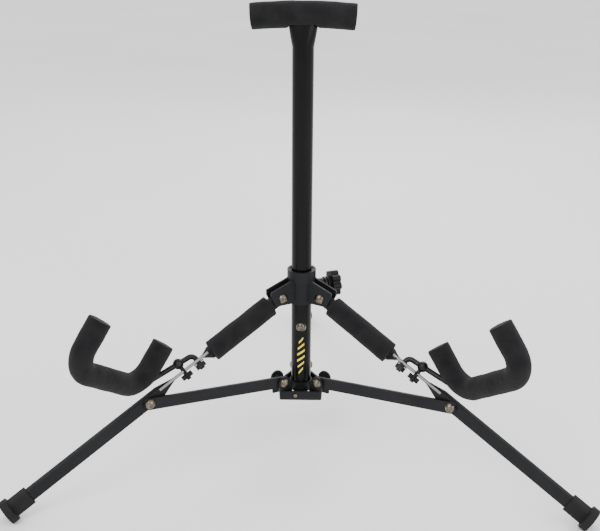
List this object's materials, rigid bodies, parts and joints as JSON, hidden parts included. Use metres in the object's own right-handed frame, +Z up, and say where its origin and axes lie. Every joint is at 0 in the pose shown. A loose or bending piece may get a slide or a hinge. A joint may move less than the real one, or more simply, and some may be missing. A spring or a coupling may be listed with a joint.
{
  "type": "folding guitar stand",
  "caption": "Folding tripod guitar stand with a foam-padded head on a mast, a sliding collar, and two padded yokes on the front legs.",
  "frame": {"origin": "centre of the open stand's bounding box, on the floor", "axes": "+Z up the mast, +X across the stand to the right, +Y from the two front legs towards the rear leg"},
  "size_m": [0.519, 0.4522, 0.4259],
  "materials": {
    "foam": "black closed-cell foam rubber",
    "foot_rubber": "black moulded rubber",
    "rivet_steel": "plated domed steel",
    "knob_plastic": "black moulded plastic",
    "nylon": "black nylon",
    "mast_paint": "satin black powder coat",
    "black_hardware": "black oxide steel",
    "frame_paint": "satin black powder coat"
  },
  "bodies": {
    "mast": {"mast_tube": "mast_paint", "mast_end_plug": "nylon", "head_crossbar": "black_hardware", "head_foam": "foam", "base_bracket": "frame_paint", "base_rivets": "rivet_steel", "bracket_screw": "rivet_steel", "stop_screw": "rivet_steel"},
    "collar": {"collar": "frame_paint", "collar_bushing": "nylon", "collar_bolts": "rivet_steel"},
    "clamp_knob": {"clamp_knob": "knob_plastic", "clamp_screw": "black_hardware", "clamp_washer": "black_hardware"},
    "strut_left": {"strut_left": "frame_paint"},
    "leg_left": {"leg_left": "frame_paint", "foot_left": "foot_rubber", "knee_rivet_left": "rivet_steel", "leg_foam_left": "foam"},
    "strut_right": {"strut_right": "frame_paint"},
    "leg_right": {"leg_right": "frame_paint", "foot_right": "foot_rubber", "knee_rivet_right": "rivet_steel", "leg_foam_right": "foam"},
    "strut_rear": {"strut_rear": "frame_paint"},
    "leg_rear": {"leg_rear": "frame_paint", "foot_rear": "foot_rubber", "knee_rivet_rear": "rivet_steel"},
    "yoke_left": {"yoke_rod_left": "black_hardware", "yoke_foam_left": "foam", "yoke_pivot_washer_left": "black_hardware", "yoke_pivot_nut_left": "black_hardware", "yoke_clamp_left": "black_hardware"},
    "yoke_star_left": {"yoke_star_nut_left": "knob_plastic"},
    "yoke_right": {"yoke_rod_right": "black_hardware", "yoke_foam_right": "foam", "yoke_pivot_washer_right": "black_hardware", "yoke_pivot_nut_right": "black_hardware", "yoke_clamp_right": "black_hardware"},
    "yoke_star_right": {"yoke_star_nut_right": "knob_plastic"}
  },
  "joints": [
    {"name": "collar_slide", "type": "slide", "parent": "mast", "child": "collar", "axis": [0, 0, 1], "range_m": [0, 0.20341]},
    {"name": "leg_left_turn", "type": "hinge", "parent": "collar", "child": "leg_left", "pos_m": [-0.01949, -0.08173, 0.1576], "axis": [0.5, -0.866, 0], "range_deg": [0, 57.41]},
    {"name": "strut_left_turn", "type": "hinge", "parent": "leg_left", "child": "strut_left", "pos_m": [-0.13678, -0.14945, 0.08222], "axis": [-0.5, 0.866, 0], "range_deg": [0, 138.56]},
    {"name": "leg_right_turn", "type": "hinge", "parent": "collar", "child": "leg_right", "pos_m": [0.01949, -0.08173, 0.1576], "axis": [0.5, 0.866, 0], "range_deg": [0, 57.41]},
    {"name": "strut_right_turn", "type": "hinge", "parent": "leg_right", "child": "strut_right", "pos_m": [0.13678, -0.14945, 0.08222], "axis": [-0.5, -0.866, 0], "range_deg": [0, 138.56]},
    {"name": "leg_rear_turn", "type": "hinge", "parent": "collar", "child": "leg_rear", "pos_m": [0, -0.04798, 0.1576], "axis": [-1, 0, 0], "range_deg": [0, 57.41]},
    {"name": "strut_rear_turn", "type": "hinge", "parent": "leg_rear", "child": "strut_rear", "pos_m": [0, 0.08745, 0.08222], "axis": [1, 0, 0], "range_deg": [0, 138.56]},
    {"name": "clamp_turn", "type": "hinge", "parent": "collar", "child": "clamp_knob", "pos_m": [0.02396, -0.06176, 0.164], "axis": [0.9397, 0.342, 0], "continuous": true},
    {"name": "yoke_left_swing", "type": "hinge", "parent": "leg_left", "child": "yoke_left", "pos_m": [-0.09458, -0.12415, 0.11104], "axis": [-0.6255, 0.2677, 0.7328], "range_deg": [-12, 12]},
    {"name": "yoke_star_left_turn", "type": "hinge", "parent": "yoke_left", "child": "yoke_star_left", "pos_m": [-0.10293, -0.13324, 0.10042], "axis": [-0.6255, 0.2677, 0.7328], "continuous": true},
    {"name": "yoke_right_swing", "type": "hinge", "parent": "leg_right", "child": "yoke_right", "pos_m": [0.09458, -0.12415, 0.11104], "axis": [0.6255, 0.2677, 0.7328], "range_deg": [-12, 12]},
    {"name": "yoke_star_right_turn", "type": "hinge", "parent": "yoke_right", "child": "yoke_star_right", "pos_m": [0.10293, -0.13324, 0.10042], "axis": [0.6255, 0.2677, 0.7328], "continuous": true}
  ],
  "couplings": [
    {"joint": "leg_left_turn", "follows": "collar_slide", "rad_per_m": 4.9253},
    {"joint": "strut_left_turn", "follows": "collar_slide", "rad_per_m": 11.888},
    {"joint": "leg_right_turn", "follows": "collar_slide", "rad_per_m": 4.9253},
    {"joint": "strut_right_turn", "follows": "collar_slide", "rad_per_m": 11.888},
    {"joint": "leg_rear_turn", "follows": "collar_slide", "rad_per_m": 4.9253},
    {"joint": "strut_rear_turn", "follows": "collar_slide", "rad_per_m": 11.888}
  ]
}
